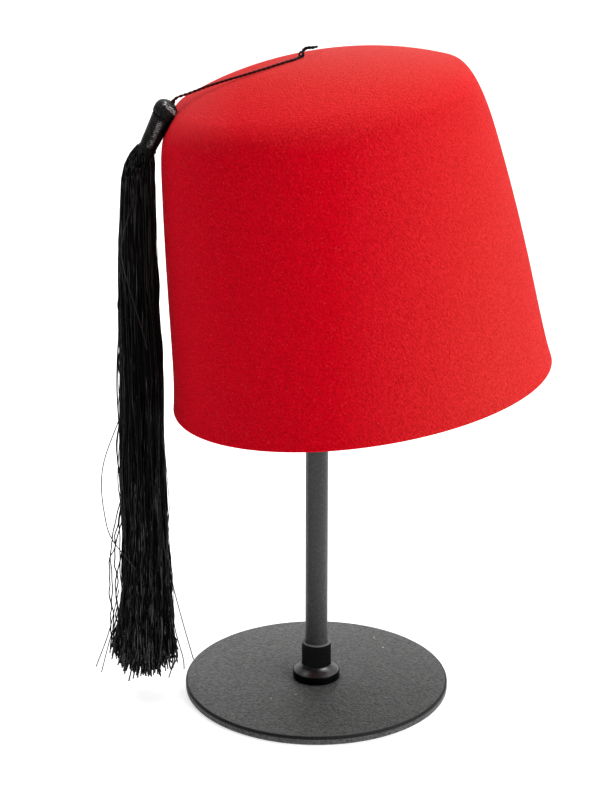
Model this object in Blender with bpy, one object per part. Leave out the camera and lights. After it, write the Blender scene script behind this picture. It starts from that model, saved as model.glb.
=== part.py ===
"""A felt fez with a tassel, resting on a plain metal hat stand.

Sizes are in metres and +Z is up. The origin is the middle of the stand's underside.
The hat's front faces -Y, and its tassel hangs on the -X side.
"""

import math
from collections import namedtuple

import bmesh
import bpy
from mathutils import Matrix, Vector
from mathutils.geometry import interpolate_bezier

GAP = 0.0003                    # left between pieces that touch
SHARP_DEG = 35.0                # edges sharper than this stay sharp

# The hat, upright: heights are above its rim.
HEAD_CIRCUMFERENCE = 0.580
FELT = 0.0022                   # thickness of the felt
RIM_RADIUS = HEAD_CIRCUMFERENCE / math.tau + FELT
RIM_FLARE = 0.0025              # how far the rim turns out past the line of the wall
FLARE_FADE = 0.0147             # the height over which that flare dies away
RIM_ROUND = 0.0006              # rounding of the rim's cut edges
CROWN_RADIUS = 0.0756           # where the lines of wall and crown would meet
WALL_HEIGHT = 0.1465
WALL_BULGE = 0.0023             # belly of the wall halfway up
CROWN_RISE = 0.0164             # how far the crown domes up
CROWN_POWER = 2.2               # above 2, so the dome is flatter in its middle
SHOULDER_DROP = 0.0320          # the shoulder's rounding, down the wall and in over the crown
SHOULDER_IN = 0.0076
HAT_SIDES = 64
WALL_ROWS = 8
WALL_ROWS_POWER = 1.3           # above 1, so the rows are closer together near the rim
SHOULDER_ROWS = 5
CROWN_ROWS = 5

# The hat on its stand: the tassel's side hangs low, and the soft crown leans with it.
TILT_SIDE = math.radians(-7.49)
TILT_BACK = math.radians(0.77)
RIM_CENTRE = Vector((0.0220, 0.0004, 0.1659))
RIM_SLANT = 0.012               # rise of the felt for each unit to +X, at the rim
CROWN_SLANT = 0.034             # and at the crown
CROWN_LEAN = -0.0042            # sideways lean of the crown

# The shoulder is pressed in where the tassel's head leans on it.
DENT_PLACE = Vector((-0.0706, -0.0060, 0.2992))
DENT_PUSH = Vector((0.0042, 0.0, -0.0022))
DENT_REACH_ALONG = 0.0140       # along the shoulder
DENT_REACH_DOWN = 0.0056        # and down over it

# The stand.
BASE_RADIUS = 0.0680
BASE_THICKNESS = 0.0045
BASE_CHAMFER = 0.0006
POST_RADIUS = 0.00525
POST_FOOT_RADIUS = 0.0056       # the post widens a little into its collar
POST_FOOT_TOP = 0.0265
POST_TAPER_TOP = 0.0310
POST_SIDES = 32
COLLAR_FLANGE_RADIUS = 0.0122
COLLAR_FLANGE_HEIGHT = 0.0029
COLLAR_BELL_HEIGHT = 0.0050
COLLAR_BELL_OUT = Vector((-0.0030, 0.0010))     # how the bell's curve leaves the flange, in and up
COLLAR_BELL_IN = Vector((0.0, -0.0030))         # and how it meets the sleeve
COLLAR_BELL_ROWS = 6
COLLAR_RADIUS = 0.0076
COLLAR_HEIGHT = 0.0200
COLLAR_BEVEL = 0.0004
COLLAR_SIDES = 40
HEAD_RADIUS = 0.0450            # the domed head that the hat rests on
HEAD_CURVE = 0.0650             # radius of its dome
HEAD_EDGE = 0.0020              # straight edge under the dome
HEAD_ROWS = 8
STAND_SIDES = 64

# The tassel hangs in the plane y = TASSEL_Y.
TASSEL_Y = -0.0090
CORD_DIAMETER = 0.0014
CORD_SPACING = 2.5 * CORD_DIAMETER
KNOT_SIDES = 12
BALL_SIDES = 24
THREAD_SHARP_DEG = 60.0         # creases in the thread pieces that are sharper than this stay sharp

# The cord's centre line, from the knot on the crown to the tassel's head.
CORD_ROUTE = [
    (-0.0087, -0.0032, 0.3271),
    (-0.0115, -0.0062, 0.3264),
    (-0.0155, -0.0084, 0.3255),
    (-0.0200, -0.0100, 0.3243),
    (-0.0245, -0.0110, 0.3230),
    (-0.0290, -0.0115, 0.3217),
    (-0.0335, -0.0116, 0.3203),
    (-0.0380, -0.0112, 0.3189),
    (-0.0425, -0.0106, 0.3175),
    (-0.0470, -0.0100, 0.3160),
    (-0.0510, -0.0096, 0.3146),
    (-0.0548, -0.0092, 0.3130),
    (-0.0582, -0.0090, 0.3116),
    (-0.0610, -0.0090, 0.3105),
    (-0.0634, -0.0090, 0.3097),
    (-0.0654, -0.0090, 0.3090),
    (-0.0667, -0.0090, 0.3083),
    (-0.0676, -0.0090, 0.3075),
    (-0.0680, -0.0090, 0.3068),
]

Bead = namedtuple("Bead", "x y z radius")

# The cord's knot on the crown and its short free end.
KNOT_ROWS = [
    Bead(-0.0083, -0.0019, 0.3266, 0.0005),
    Bead(-0.0081, -0.0018, 0.3270, 0.0012),
    Bead(-0.0079, -0.0016, 0.3278, 0.0015),
    Bead(-0.0075, -0.0013, 0.3287, 0.0012),
    Bead(-0.0069, -0.0009, 0.3295, 0.0007),
    Bead(-0.0062, -0.0003, 0.3303, 0.0006),
    Bead(-0.0052, 0.0001, 0.3307, 0.0006),
    Bead(-0.0039, 0.0004, 0.3308, 0.0006),
    Bead(-0.0026, 0.0006, 0.3309, 0.0006),
    Bead(-0.0012, 0.0008, 0.3310, 0.0005),
    Bead(0.0001, 0.0010, 0.3312, 0.0002),
]

# The tassel's head: a ball of thread, and the bound neck that leans out from the hat.
BALL_ROWS = [
    Bead(-0.0705, TASSEL_Y, 0.3074, 0.0016),
    Bead(-0.0706, TASSEL_Y, 0.3065, 0.0034),
    Bead(-0.0709, TASSEL_Y, 0.3052, 0.0047),
    Bead(-0.0713, TASSEL_Y, 0.3036, 0.0053),
    Bead(-0.0719, TASSEL_Y, 0.3018, 0.0053),
    Bead(-0.0726, TASSEL_Y, 0.3003, 0.0047),
    Bead(-0.0732, TASSEL_Y, 0.2989, 0.0044),
    Bead(-0.0741, TASSEL_Y, 0.2973, 0.0047),
    Bead(-0.0757, TASSEL_Y, 0.2942, 0.0047),
    Bead(-0.0783, TASSEL_Y, 0.2893, 0.0046),
    Bead(-0.0804, TASSEL_Y, 0.2853, 0.0043),
    Bead(-0.0814, TASSEL_Y, 0.2834, 0.0042),
]

SkirtRow = namedtuple("SkirtRow", "x z half_width half_depth lean_deg groove")

# The tassel's skirt: lean_deg tips a section as the neck leans, and groove is the depth of
# the creases between locks as a share of the section's radius.
SKIRT_ROWS = [
    SkirtRow(-0.08155, 0.2831, 0.0042, 0.0042, 29.0, 0.02),
    SkirtRow(-0.0832, 0.2802, 0.0062, 0.0058, 23.0, 0.05),
    SkirtRow(-0.0848, 0.2756, 0.0073, 0.0068, 13.0, 0.07),
    SkirtRow(-0.0857, 0.2692, 0.0080, 0.0076, 5.0, 0.08),
    SkirtRow(-0.0860, 0.2575, 0.0084, 0.0082, 0.0, 0.09),
    SkirtRow(-0.0865, 0.2415, 0.0090, 0.0088, 0.0, 0.10),
    SkirtRow(-0.0868, 0.2215, 0.0095, 0.0094, 0.0, 0.11),
    SkirtRow(-0.0867, 0.1965, 0.0102, 0.0100, 0.0, 0.12),
    SkirtRow(-0.0864, 0.1665, 0.0109, 0.0108, 0.0, 0.13),
    SkirtRow(-0.0870, 0.1315, 0.0113, 0.0114, 0.0, 0.14),
    SkirtRow(-0.0873, 0.1015, 0.0120, 0.0120, 0.0, 0.15),
    SkirtRow(-0.0875, 0.0715, 0.0131, 0.0128, 0.0, 0.16),
    SkirtRow(-0.0880, 0.0465, 0.0146, 0.0138, 0.0, 0.17),
    SkirtRow(-0.0885, 0.0255, 0.0161, 0.0148, 0.0, 0.18),
]
LOCKS = 15
POINTS_PER_LOCK = 4
LOCK_WANDER = 0.30              # how far the locks turn about the skirt halfway down, radians
LOCK_END = 0.0120               # mean length of the locks' loose ends below the last row
LOCK_END_SPREAD = 0.0035        # how much longer or shorter one is
LOCK_END_STEP = 2.4             # step in the wave of lengths from lock to lock, radians
LOCK_END_TAPER = 0.45           # size of a loose end's tip as a share of its root
LOCK_END_SPLAY = 0.10           # how far it spreads, as a share of its distance from the middle

FELT_RED = (0.60, 0.012, 0.022)
THREAD_BLACK = (0.012, 0.012, 0.013)
STAND_CHARCOAL = (0.045, 0.046, 0.048)
COLLAR_BLACK = (0.020, 0.020, 0.021)
HEAD_BLACK = (0.035, 0.035, 0.037)


def clear_scene():
    for old in list(bpy.data.objects):
        bpy.data.objects.remove(old, do_unlink=True)


def material(name, colour, roughness, metallic=0.0):
    made = bpy.data.materials.new(name)
    made.use_nodes = True
    shader = made.node_tree.nodes["Principled BSDF"]
    shader.inputs["Base Color"].default_value = (*colour, 1.0)
    shader.inputs["Roughness"].default_value = roughness
    shader.inputs["Metallic"].default_value = metallic
    return made


def add_object(name, data, finish):
    piece = bpy.data.objects.new(name, data)
    piece.data.materials.append(finish)
    bpy.context.scene.collection.objects.link(piece)
    return piece


def mesh_object(name, bm, finish, sharp_deg=SHARP_DEG):
    """Turn a bmesh into a named object with its faces out and its round surfaces smooth."""
    bmesh.ops.recalc_face_normals(bm, faces=bm.faces)
    mesh = bpy.data.meshes.new(name)
    bm.to_mesh(mesh)
    bm.free()
    mesh.shade_smooth()
    mesh.set_sharp_from_angle(angle=math.radians(sharp_deg))
    return add_object(name, mesh, finish)


def turned(outline, sides, is_ring=False):
    """Spin an outline of (radius, height) pairs about the Z axis into a closed body.

    An outline that isn't a ring's starts and ends on the axis.
    """
    bm = bmesh.new()
    corners = [bm.verts.new((radius, 0.0, height)) for radius, height in outline]
    edges = [bm.edges.new(pair) for pair in zip(corners, corners[1:])]
    if is_ring:
        edges.append(bm.edges.new((corners[-1], corners[0])))
    bmesh.ops.spin(bm, geom=corners + edges, cent=(0.0, 0.0, 0.0), axis=(0.0, 0.0, 1.0),
                   angle=math.tau, steps=sides, use_merge=True)
    bmesh.ops.remove_doubles(bm, verts=bm.verts, dist=1e-6)
    return bm


def arc(centre, radius, start_deg, end_deg, steps):
    """(radius, height) pairs along an arc of an outline."""
    angles = [math.radians(start_deg + (end_deg - start_deg) * i / steps) for i in range(steps + 1)]
    return [(centre[0] + radius * math.cos(a), centre[1] + radius * math.sin(a)) for a in angles]


def lofted(sections):
    """Skin closed sections of equal point counts, and close both ends with a face.

    It returns the body and the corners of its last section.
    """
    bm = bmesh.new()
    rings = [[bm.verts.new(point) for point in section] for section in sections]
    for lower, upper in zip(rings, rings[1:]):
        for i, corner in enumerate(lower):
            after = (i + 1) % len(lower)
            bm.faces.new((corner, lower[after], upper[after], upper[i]))
    bm.faces.new(reversed(rings[0]))
    bm.faces.new(rings[-1])
    return bm, rings[-1]


def swept(beads, sides):
    """Skin round sections set square to the line through the beads."""
    places = [Vector((bead.x, bead.y, bead.z)) for bead in beads]
    sections = []
    for i, bead in enumerate(beads):
        along = places[min(i + 1, len(places) - 1)] - places[max(i - 1, 0)]
        across = Vector((0.0, 1.0, 0.0)).cross(along).normalized()
        upright = along.cross(across).normalized()
        turns = [math.tau * side / sides for side in range(sides)]
        sections.append([places[i] + bead.radius * (math.cos(a) * across + math.sin(a) * upright)
                         for a in turns])
    bm, _ = lofted(sections)
    return bm


def wall_radius(height):
    """Outer radius of the upright hat's wall at a height above its rim."""
    up = height / WALL_HEIGHT
    straight = RIM_RADIUS - RIM_FLARE + (CROWN_RADIUS - RIM_RADIUS + RIM_FLARE) * up
    bulge = 4.0 * WALL_BULGE * up * (1.0 - up)
    return straight + bulge + RIM_FLARE * math.exp(-height / FLARE_FADE)


def crown_height(radius):
    return WALL_HEIGHT + CROWN_RISE * (1.0 - (radius / CROWN_RADIUS) ** CROWN_POWER)


def felt_outside():
    """(radius, height) pairs up the outside of the hat, from the rim to the crown's middle."""
    wall_top = WALL_HEIGHT - SHOULDER_DROP
    heights = [RIM_ROUND + (wall_top - RIM_ROUND) * (i / WALL_ROWS) ** WALL_ROWS_POWER
               for i in range(WALL_ROWS)]
    points = [(wall_radius(height), height) for height in heights]

    shoulder_end = CROWN_RADIUS - SHOULDER_IN
    start = Vector((wall_radius(wall_top), wall_top))
    corner = Vector((CROWN_RADIUS, WALL_HEIGHT))
    end = Vector((shoulder_end, crown_height(shoulder_end)))
    handles = (start.lerp(corner, 2 / 3), end.lerp(corner, 2 / 3))
    curve = interpolate_bezier(start, *handles, end, SHOULDER_ROWS + 1)
    points += [(spot.x, spot.y) for spot in curve]

    radii = [shoulder_end * (1.0 - i / CROWN_ROWS) for i in range(1, CROWN_ROWS + 1)]
    return points + [(radius, crown_height(radius)) for radius in radii]


def felt_inside(outside):
    """The same pairs, moved in by the felt's thickness."""
    inside = []
    last = len(outside) - 1
    for i, spot in enumerate(outside):
        along = Vector(outside[min(i + 1, last)]) - Vector(outside[max(i - 1, 0)])
        along.normalize()
        radius = 0.0 if i == last else spot[0] - FELT * along.y
        inside.append((radius, spot[1] + FELT * along.x))
    return inside


def on_stand(point):
    """Take a point of the upright hat to its place on the stand."""
    up = point.z / crown_height(0.0)
    slant = RIM_SLANT + (CROWN_SLANT - RIM_SLANT) * up
    leaning = Vector((point.x + CROWN_LEAN * up ** 2, point.y, point.z + slant * point.x))
    turn = Matrix.Rotation(TILT_SIDE, 3, "Y") @ Matrix.Rotation(TILT_BACK, 3, "X")
    return pressed_in(turn @ leaning + RIM_CENTRE)


def pressed_in(spot):
    """Move a point of the felt away from the tassel's head."""
    away = spot - DENT_PLACE
    along = away.y / DENT_REACH_ALONG
    down = math.hypot(away.x, away.z) / DENT_REACH_DOWN
    return spot + DENT_PUSH * math.exp(-(along ** 2 + down ** 2) / 2)


def make_felt_body(finish):
    outside = felt_outside()
    inside = felt_inside(outside)
    rim = [(outside[0][0] - RIM_ROUND, 0.0), (inside[0][0] + RIM_ROUND, 0.0)]
    bm = turned(outside[::-1] + rim + inside, HAT_SIDES)
    for vert in bm.verts:
        vert.co = on_stand(vert.co)
    return mesh_object("felt_body", bm, finish)


def seat_height():
    """Height of the dome's centre of curvature that brings the stand's head up to the felt."""
    reach = HEAD_CURVE + GAP
    lowest = math.inf
    for radius, height in felt_inside(felt_outside()):
        if radius > HEAD_RADIUS:
            continue
        for side in range(HAT_SIDES):
            turn = math.tau * side / HAT_SIDES
            spot = on_stand(Vector((radius * math.cos(turn), radius * math.sin(turn), height)))
            aside = math.hypot(spot.x, spot.y)
            lowest = min(lowest, spot.z - math.sqrt(reach ** 2 - aside ** 2))
    return lowest


def make_stand_head(finish, centre):
    """The plain domed head under the crown. It returns the height of its flat underside."""
    edge_deg = math.degrees(math.acos(HEAD_RADIUS / HEAD_CURVE))
    dome = arc((0.0, centre), HEAD_CURVE, 90.0, edge_deg, HEAD_ROWS)
    dome[0] = (0.0, centre + HEAD_CURVE)
    underside = dome[-1][1] - HEAD_EDGE
    bm = turned(dome + [(HEAD_RADIUS, underside), (0.0, underside)], STAND_SIDES)
    mesh_object("stand_head", bm, finish)
    return underside


def make_stand_post(finish, top):
    bottom = BASE_THICKNESS + GAP
    outline = [
        (0.0, bottom),
        (POST_FOOT_RADIUS, bottom),
        (POST_FOOT_RADIUS, POST_FOOT_TOP),
        (POST_RADIUS, POST_TAPER_TOP),
        (POST_RADIUS, top),
        (0.0, top),
    ]
    mesh_object("stand_post", turned(outline, POST_SIDES), finish)


def make_stand_collar(finish):
    bottom = BASE_THICKNESS + GAP
    top = BASE_THICKNESS + COLLAR_HEIGHT
    bore = POST_FOOT_RADIUS + GAP
    flange_top = bottom + COLLAR_FLANGE_HEIGHT
    bell_top = flange_top + COLLAR_BELL_HEIGHT
    foot = Vector((COLLAR_FLANGE_RADIUS - COLLAR_BEVEL, flange_top))
    neck = Vector((COLLAR_RADIUS, bell_top))
    handles = (foot + COLLAR_BELL_OUT, neck + COLLAR_BELL_IN)
    bell = interpolate_bezier(foot, *handles, neck, COLLAR_BELL_ROWS + 1)
    outline = [(bore, bottom), (COLLAR_FLANGE_RADIUS, bottom)]
    outline.append((COLLAR_FLANGE_RADIUS, flange_top - COLLAR_BEVEL))
    outline += [(spot.x, spot.y) for spot in bell]
    outline += [(COLLAR_RADIUS, top - COLLAR_BEVEL), (COLLAR_RADIUS - COLLAR_BEVEL, top), (bore, top)]
    mesh_object("stand_collar", turned(outline, COLLAR_SIDES, is_ring=True), finish)


def make_stand_base(finish):
    rim = BASE_RADIUS - BASE_CHAMFER
    outline = [
        (0.0, 0.0),
        (rim, 0.0),
        (BASE_RADIUS, BASE_CHAMFER),
        (BASE_RADIUS, BASE_THICKNESS - BASE_CHAMFER),
        (rim, BASE_THICKNESS),
        (0.0, BASE_THICKNESS),
    ]
    mesh_object("stand_base", turned(outline, STAND_SIDES), finish)


def smooth_through(route, spacing):
    """Points about `spacing` apart on a Catmull-Rom curve through the route."""
    spots = [Vector(spot) for spot in route]
    spots = [2 * spots[0] - spots[1]] + spots + [2 * spots[-1] - spots[-2]]
    points = []
    for before, start, end, after in zip(spots, spots[1:], spots[2:], spots[3:]):
        handles = (start + (end - before) / 6, end - (after - start) / 6)
        steps = max(1, round((end - start).length / spacing))
        points += interpolate_bezier(start, *handles, end, steps + 1)[:-1]
    return points + [spots[-2]]


def make_tassel_cord(finish):
    points = smooth_through(CORD_ROUTE, CORD_SPACING)
    curve = bpy.data.curves.new("tassel_cord", "CURVE")
    curve.dimensions = "3D"
    curve.bevel_depth = CORD_DIAMETER / 2
    curve.bevel_resolution = 2
    curve.use_fill_caps = True
    spline = curve.splines.new("POLY")
    spline.points.add(len(points) - 1)
    for target, spot in zip(spline.points, points):
        target.co = (*spot, 1.0)
    add_object("tassel_cord", curve, finish)


def skirt_section(row):
    """One lobed section of the skirt, a lobe for each lock."""
    lean = Matrix.Rotation(math.radians(row.lean_deg), 3, "Y")
    wander = LOCK_WANDER * math.sin(row.z / SKIRT_ROWS[0].z * math.pi)
    count = LOCKS * POINTS_PER_LOCK
    section = []
    for i in range(count):
        turn = math.tau * i / count
        crease = 1.0 - abs(math.sin(LOCKS * turn / 2))
        size = 1.0 - row.groove * crease
        spot = Vector((row.half_width * size * math.cos(turn + wander),
                       row.half_depth * size * math.sin(turn + wander), 0.0))
        section.append(lean @ spot + Vector((row.x, TASSEL_Y, row.z)))
    return section


def make_tassel_skirt(finish):
    bm, lowest = lofted([skirt_section(row) for row in SKIRT_ROWS])
    bm.faces.remove(bm.faces.get(lowest))
    middle = bm.verts.new(sum((corner.co for corner in lowest), Vector()) / len(lowest))
    for number in range(LOCKS):
        creases = range(number * POINTS_PER_LOCK, (number + 1) * POINTS_PER_LOCK + 1)
        root = bm.faces.new([middle] + [lowest[i % len(lowest)] for i in creases])
        draw_out_lock(bm, root, number, middle.co.copy())
    mesh_object("tassel_skirt", bm, finish, THREAD_SHARP_DEG)


def draw_out_lock(bm, root, number, middle):
    """Pull one lock's loose end down from the skirt's lower face, tapering and splaying."""
    length = LOCK_END + LOCK_END_SPREAD * math.sin(LOCK_END_STEP * number)
    end = bmesh.ops.extrude_discrete_faces(bm, faces=[root])["faces"][0]
    centre = end.calc_center_median()
    shift = (centre - middle) * LOCK_END_SPLAY + Vector((0.0, 0.0, -length))
    for vert in end.verts:
        vert.co = centre + (vert.co - centre) * LOCK_END_TAPER + shift


def main():
    clear_scene()
    felt = material("felt", FELT_RED, 0.95)
    thread = material("tassel_thread", THREAD_BLACK, 0.45)
    stand_coat = material("stand_coat", STAND_CHARCOAL, 0.60, 0.3)
    collar_coat = material("collar_coat", COLLAR_BLACK, 0.35, 0.3)
    plain_black = material("stand_head", HEAD_BLACK, 0.70)

    make_stand_base(stand_coat)
    make_stand_collar(collar_coat)
    underside = make_stand_head(plain_black, seat_height())
    make_stand_post(stand_coat, underside - GAP)

    make_felt_body(felt)
    mesh_object("crown_knot", swept(KNOT_ROWS, KNOT_SIDES), thread, THREAD_SHARP_DEG)
    make_tassel_cord(thread)
    mesh_object("tassel_head", swept(BALL_ROWS, BALL_SIDES), thread, THREAD_SHARP_DEG)
    make_tassel_skirt(thread)


main()
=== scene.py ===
"""A brushed felt fez with a long black tassel, resting on a plain metal hat stand.

Lengths are in metres, +Z is up, the hat's front faces -Y and its tassel hangs on the -X side.
The stand's pieces take their sizes from the frame's solids. The hat and its tassel repeat the
measures that those solids were made from, and add their finish: fine felt with a short nap,
twisted thread, and paint with a fine grain.
"""

import math
from collections import namedtuple
from functools import reduce

import bmesh
import bpy
import numpy as np
from bpy.props import FloatProperty, FloatVectorProperty, IntProperty, PointerProperty
from bpy.types import NodeSocket, Operator, Panel, PropertyGroup
from mathutils import Matrix, Vector
from mathutils.geometry import interpolate_bezier


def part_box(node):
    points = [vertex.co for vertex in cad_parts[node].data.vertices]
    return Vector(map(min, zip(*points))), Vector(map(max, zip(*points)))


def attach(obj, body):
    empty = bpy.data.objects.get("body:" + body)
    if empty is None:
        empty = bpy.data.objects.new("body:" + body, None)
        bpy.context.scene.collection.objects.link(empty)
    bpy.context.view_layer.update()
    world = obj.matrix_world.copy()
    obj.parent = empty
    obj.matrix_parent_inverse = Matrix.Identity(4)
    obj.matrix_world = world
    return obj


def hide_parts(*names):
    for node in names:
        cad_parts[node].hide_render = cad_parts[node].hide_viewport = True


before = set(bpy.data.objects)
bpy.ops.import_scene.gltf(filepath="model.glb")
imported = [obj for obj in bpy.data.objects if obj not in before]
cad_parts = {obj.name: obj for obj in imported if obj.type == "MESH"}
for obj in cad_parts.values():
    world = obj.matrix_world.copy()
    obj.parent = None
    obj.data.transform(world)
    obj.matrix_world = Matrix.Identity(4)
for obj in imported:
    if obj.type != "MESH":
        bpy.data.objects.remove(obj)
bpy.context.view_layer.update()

bl_info = {
    "name": "Fez on a hat stand",
    "version": (1, 0, 0),
    "blender": (4, 5, 0),
    "location": "View3D > Sidebar > Fez",
    "description": "Dresses a felt fez, its tassel and its stand",
    "category": "Object",
}

BODY = "root"
UP = (0.0, 0.0, 1.0)
BACK = (0.0, 1.0, 0.0)
WHITE = (1.0, 1.0, 1.0, 1.0)

# The hat, upright: heights are above its rim.
FELT = 0.0022
HEAD_CIRCUMFERENCE = 0.580
RIM_RADIUS = HEAD_CIRCUMFERENCE / math.tau + FELT
RIM_FLARE = 0.0025
FLARE_FADE = 0.0147
RIM_ROUND = 0.0007
RIM_CORNER = math.radians(60.0)
CROWN_RADIUS = 0.0756
WALL_HEIGHT = 0.1465
WALL_BULGE = 0.0023
CROWN_RISE = 0.0164
CROWN_POWER = 2.2
SHOULDER_DROP = 0.0320
SHOULDER_IN = 0.0076

# Towards the front the shoulder is fuller: it turns lower down and more tightly.
FULL_DROP = 0.0072
FULL_IN = 0.0054
FULL_LOWER = 0.0034
FULL_OUT = 0.0004
FULL_FROM, FULL_TO = -0.15, 0.55    # shares of the way from the sides to the front

HAT_SIDES = 240
WALL_ROWS = 40
WALL_ROWS_POWER = 1.2
SHOULDER_ROWS = 20
CROWN_ROWS = 24

# The hat on its stand, tilted, with its soft crown leaning.
TILT_SIDE = math.radians(-7.49)
TILT_BACK = math.radians(0.77)
RIM_CENTRE = Vector((0.0220, 0.0004, 0.1659))
RIM_SLANT = 0.012
CROWN_SLANT = 0.034
CROWN_LEAN = -0.0042

# The shoulder is pressed in where the tassel's head leans on it.
DENT_PLACE = Vector((-0.0706, -0.0060, 0.2992))
DENT_PUSH = Vector((0.0022, 0.0, -0.0012))
DENT_REACH_ALONG = 0.0120
DENT_REACH_DOWN = 0.0060

# The felt's noise, from its ground up to its hairs: how each layer is turned, how long its
# fibres are for their width, how many there are, how wavy, the values of the noise where they
# start and end, and their share of the relief.
FeltLayer = namedtuple("FeltLayer", "name turn stretch scale waviness low high rise")
FELT_LAYERS = [FeltLayer(*row) for row in (
    ("Lumps", (0.0, -0.70, 0.0), 2.2, 1350.0, 0.0, 0.320, 0.68, 0.60),
    ("Crossing", (0.5, -1.10, 0.6), 1.6, 1100.0, 0.0, 0.320, 0.68, 0.40),
    ("Fibres", (0.9, -0.40, 0.4), 2.0, 2300.0, 0.8, 0.320, 0.68, 0.30),
    ("Hairs", (0.2, 1.20, 1.9), 2.0, 1500.0, 1.0, 0.615, 0.73, 0.25),
)]
FELT_RELIEF = 0.00045
FELT_LIGHT = {"Fibres": 0.6, "Lumps": 0.4}  # what the felt's paleness follows, and how far

# Painted light, growing between two places along each axis. The felt is painted paler on its
# crown and round its right side, a painted highlight where the lights fall most strongly, and
# palest, by the given shares, as a painted sheen at the crown's top, on the left shoulder by the
# tassel's head, and at the crown's back.
LIT_PALING = (-0.022, 0.033, 0.016)     # what the painted highlight on the lit side adds to the felt's colour
LIT_PALING_DEEP, LIT_PALING_HIGH = 0.4, 1.6     # its strength between the fibres and on them
PAINTED_SHEEN_COLOUR = (0.53, 0.120, 0.106)
LIT_SIDE = {"X": (0.005, 0.085), "Z": (0.296, 0.322)}
PAINTED_SHEEN = (
    ({"Z": (0.3200, 0.3320)}, 0.30),
    ({"X": (-0.035, -0.072), "Z": (0.290, 0.306)}, 0.34),
    ({"Y": (-0.030, 0.060), "Z": (0.298, 0.322)}, 0.40),
)

# The cord's centre line, from the knot on the crown to the tassel's head.
CORD_ROUTE = [
    (-0.0087, -0.0032, 0.3271), (-0.0115, -0.0062, 0.3264), (-0.0155, -0.0084, 0.3255),
    (-0.0200, -0.0100, 0.3243), (-0.0245, -0.0110, 0.3230), (-0.0290, -0.0115, 0.3217),
    (-0.0335, -0.0116, 0.3203), (-0.0380, -0.0112, 0.3189), (-0.0425, -0.0106, 0.3175),
    (-0.0470, -0.0100, 0.3160), (-0.0510, -0.0096, 0.3146), (-0.0548, -0.0092, 0.3130),
    (-0.0582, -0.0090, 0.3116), (-0.0610, -0.0090, 0.3105), (-0.0634, -0.0090, 0.3097),
    (-0.0654, -0.0090, 0.3090), (-0.0667, -0.0090, 0.3083), (-0.0676, -0.0090, 0.3075),
    (-0.0680, -0.0090, 0.3068),
]
CORD_SUNK = 0.00036                 # how far the cord beds into the felt on the crown
CORD_SUNK_UNTIL = -0.0600           # the cord leaves the crown left of this x
CORD_TIP = (-0.0690, -0.0090, 0.3054)   # where the drawn cord is lost in the tassel's ball
PLIES = 2

# The cord's end runs back under itself, round an open loop, and ends in a free tail.
KNOT_ROUTE = [
    (-0.0120, -0.0062, 0.3256), (-0.0102, -0.0048, 0.3262), (-0.0086, -0.0036, 0.3266),
    (-0.0074, -0.0028, 0.3269), (-0.0068, -0.0022, 0.3277), (-0.0072, -0.0018, 0.3287),
    (-0.0082, -0.0018, 0.3289), (-0.0089, -0.0022, 0.3281), (-0.0087, -0.0028, 0.3272),
    (-0.0078, -0.0031, 0.3270), (-0.0072, -0.0026, 0.3278),
]
TAIL_ROUTE = [
    (-0.0073, -0.0014, 0.3290), (-0.0066, -0.0006, 0.3299), (-0.0056, -0.0001, 0.3304),
    (-0.0044, 0.0002, 0.3306), (-0.0030, 0.0004, 0.3306), (-0.0014, 0.0006, 0.3308),
    (-0.0001, 0.0008, 0.3311),
]

# The tassel's head: a ball of thread down to its groove, and the bound neck below. The rows
# give x, z and radius.
TASSEL_Y = -0.0090
Bead = namedtuple("Bead", "x y z radius")
BALL_ROWS = [Bead(x, TASSEL_Y, z, radius) for x, z, radius in (
    (-0.0696, 0.3065, 0.0013),
    (-0.0698, 0.3062, 0.0028),
    (-0.0702, 0.3055, 0.0042),
    (-0.0707, 0.3047, 0.0051),
    (-0.0713, 0.3036, 0.0056),
    (-0.0719, 0.3025, 0.0057),
    (-0.0726, 0.3012, 0.0056),
    (-0.0733, 0.3001, 0.0054),
)]
NECK_ROWS = [Bead(x, TASSEL_Y, z, radius) for x, z, radius in (
    (-0.0733, 0.3001, 0.0050),
    (-0.0745, 0.2973, 0.0050),
    (-0.0759, 0.2942, 0.0049),
    (-0.0784, 0.2893, 0.0046),
    (-0.0802, 0.2857, 0.0043),
    (-0.0808, 0.2845, 0.0048),
    (-0.0814, 0.2834, 0.0046),
)]

# Painted highlights on the tassel's head, paler bands painted where its floss catches the light:
# where each starts, its directions along, across and outward, its length, half its width, and how
# pale it is.
PaintedHighlight = namedtuple("PaintedHighlight", "start along across out length half_width tone")
BALL_HIGHLIGHT = PaintedHighlight((-0.07225, -0.00839, 0.30533), (0.73, -0.216, -0.645), (0.68, 0.231, 0.693),
                   (0.0, -0.949, 0.317), 0.0075, 0.0006, 0.60)
NECK_HIGHLIGHT = PaintedHighlight((-0.0739, -0.0090, 0.2962), (-0.467, -0.281, -0.840),
                   (0.885, -0.148, -0.443), (0.0, -0.949, 0.317), 0.0125, 0.0008, 0.34)
HIGHLIGHT_EDGE = 0.0007
HIGHLIGHT_MOTTLING = 750.0
HIGHLIGHT_GAPS = (0.34, 0.60)           # the mottling's values where a band is missing and whole

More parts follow.
